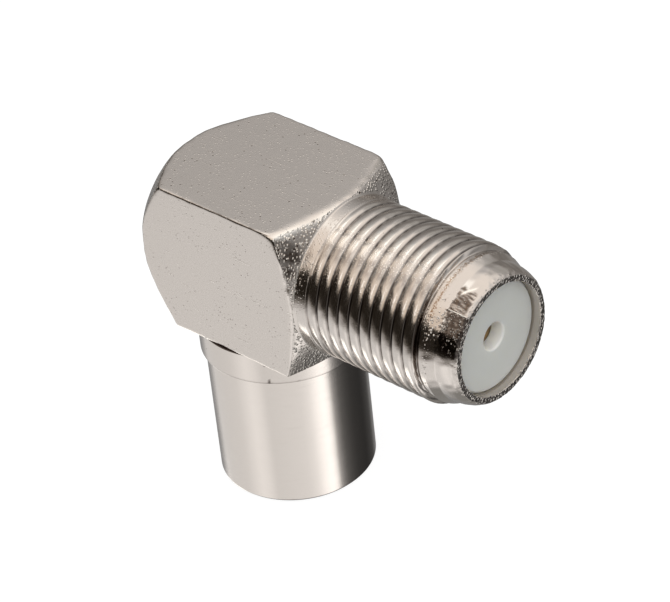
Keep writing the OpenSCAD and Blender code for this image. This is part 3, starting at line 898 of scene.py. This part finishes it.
def makeWorld():
    s = studio
    world = bpy.data.worlds.new("studioTent")
    bpy.context.scene.world = world
    world.use_nodes = True
    tree = world.node_tree
    towards = addNode(tree, "TexCoord").outputs["Generated"]
    parts = addNode(tree, "SeparateXYZ", links={"Vector": towards})
    azimuth = addNode(tree, "Math", {"operation": "ARCTAN2"}, {},
                      {0: parts.outputs["Y"], 1: parts.outputs["X"]})
    height = addNode(tree, "Math", {"operation": "ARCSINE"}, {}, {0: parts.outputs["Z"]})
    azPlace = addNode(tree, "MapRange", {}, {"From Min": -math.pi, "From Max": math.pi},
                      {"Value": azimuth.outputs[0]})
    elPlace = addNode(tree, "MapRange", {}, {"From Min": -math.pi / 2, "From Max": math.pi / 2},
                      {"Value": height.outputs[0]})
    # a ramp stops at 1, so it holds half its level, and the tint below doubles it again
    ramps = {}
    for key, scale, place, low, span in (
            ("low", 0.5, azPlace, -180, 360), ("left", 0.5, elPlace, -90, 180), ("far", 0.5, elPlace, -90, 180),
            ("right", 0.5, elPlace, -90, 180), ("leftSide", 1.0, azPlace, -180, 360),
            ("rightSide", 1.0, azPlace, -180, 360)):
        ramp = addNode(tree, "ValToRGB", {}, {}, {"Fac": place.outputs["Result"]})
        stops = ramp.color_ramp.elements
        stops.remove(stops[-1])
        for i, (degrees, level) in enumerate(s[key]):
            at, warmth = (degrees - low) / span, s["warmth"].get(key, {}).get(degrees, 0)
            stop = stops[0] if i == 0 else stops.new(at)
            stop.position = at
            stop.color = [level * scale * share for share in (1 + warmth, 1, 1 - warmth)] + [1]
        ramps[key] = ramp.outputs["Color"]
    sides = addNode(tree, "Mix", colourMix, {}, {0: ramps["leftSide"], 6: ramps["far"], 7: ramps["left"]})
    sides = addNode(tree, "Mix", colourMix, {}, {0: ramps["rightSide"], 6: sides.outputs[2], 7: ramps["right"]})
    low, high = (math.radians(a) for a in s["below"])
    below = addNode(tree, "MapRange", eased, {"From Min": low, "From Max": high}, {"Value": height.outputs[0]})
    around = addNode(tree, "Mix", colourMix, {},
                     {0: below.outputs["Result"], 6: sides.outputs[2], 7: ramps["low"]})
    low, high = (math.radians(a) for a in s["warmTop"])
    warm = addNode(tree, "MapRange", {}, {"From Min": low, "From Max": high}, {"Value": height.outputs[0]})
    warmTint = (2 * (1 + s["warmShare"]), 2, 2 * (1 - s["warmShare"]), 1)
    tint = addNode(tree, "Mix", colourMix, {6: (2, 2, 2, 1), 7: warmTint}, {0: warm.outputs["Result"]})
    lit = addNode(tree, "Mix", {"data_type": "RGBA", "blend_type": "MULTIPLY"}, {0: 1.0},
                  {6: around.outputs[2], 7: tint.outputs[2]})
    for az, el, radius, level, full in s["patches"]:
        near = addNode(tree, "VectorMath", {"operation": "DOT_PRODUCT"}, {1: direction(az, el)}, {0: towards})
        outer, inner = (math.cos(math.radians(a)) for a in (radius, radius * full))
        mask = addNode(tree, "MapRange", eased, {"From Min": outer, "From Max": inner},
                       {"Value": near.outputs["Value"]})
        lit = addNode(tree, "Mix", colourMix, {7: (level, level, level * (1 - s["patchWarmth"]), 1)},
                      {0: mask.outputs["Result"], 6: lit.outputs[2]})
    path = addNode(tree, "LightPath")
    fill = addNode(tree, "Mix", colourMix, {6: (s["fill"],) * 3 + (1,)},
                   {0: path.outputs["Is Glossy Ray"], 7: lit.outputs[2]})
    seen = addNode(tree, "Math", {"operation": "MAXIMUM"}, {},
                   {0: path.outputs["Is Camera Ray"], 1: path.outputs["Is Transmission Ray"]})
    final = addNode(tree, "Mix", colourMix, {7: (1, 1, 1, 1)}, {0: seen.outputs[0], 6: fill.outputs[2]})
    tree.links.new(final.outputs[2], tree.nodes["Background"].inputs["Color"])


floor = {"size": 3.0, "ownLight": 0.86, "shadeShare": 0.24}  # metres, and shares of white


def makeFloor():
    # pale paper floor: white to the camera, it only keeps a faint shadow
    mesh = bpy.data.meshes.new("studioFloor")
    s = floor["size"] / 2
    mesh.from_pydata([(-s, -s, 0), (s, -s, 0), (s, s, 0), (-s, s, 0)], [], [(0, 1, 2, 3)])
    obj = addObject("studioFloor", mesh)
    material = bpy.data.materials.new("paperWhiteMatt")
    material.use_nodes = True
    tree = material.node_tree
    tree.nodes.remove(tree.nodes["Principled BSDF"])
    paper = addNode(tree, "BsdfDiffuse", {}, {"Color": (floor["shadeShare"],) * 3 + (1,)})
    path = addNode(tree, "LightPath")
    glow = addNode(tree, "Math", multiply, {1: floor["ownLight"]}, {0: path.outputs["Is Camera Ray"]})
    own = addNode(tree, "Emission", {}, {"Color": (1, 1, 1, 1)}, {"Strength": glow.outputs[0]})
    both = addNode(tree, "AddShader", {}, {}, {0: paper.outputs[0], 1: own.outputs[0]})
    tree.links.new(both.outputs[0], tree.nodes["Material Output"].inputs["Surface"])
    mesh.materials.append(material)
    obj.visible_glossy = False


# angles in degrees, the rest in metres and watts
softbox = {
    "azimuth": -40, "elevation": 45, "distance": 0.6, "size": 0.5, "power": 1.0,
    "target": (0.004, 0, 0.013),
}


def addSoftbox():
    s = softbox
    data = bpy.data.lights.new("softboxFront", "AREA")
    data.shape, data.size, data.energy = "SQUARE", s["size"], s["power"]
    obj = addObject("softboxFront", data)
    towards = direction(s["azimuth"], s["elevation"])
    obj.location = Vector(s["target"]) + towards * s["distance"]
    obj.rotation_mode = "QUATERNION"
    obj.rotation_quaternion = towards.to_track_quat("Z", "Y")
    obj.visible_glossy = False


makeWorld()
makeFloor()
addSoftbox()
bpy.context.scene.view_settings.view_transform = "Standard"
print("studio made")
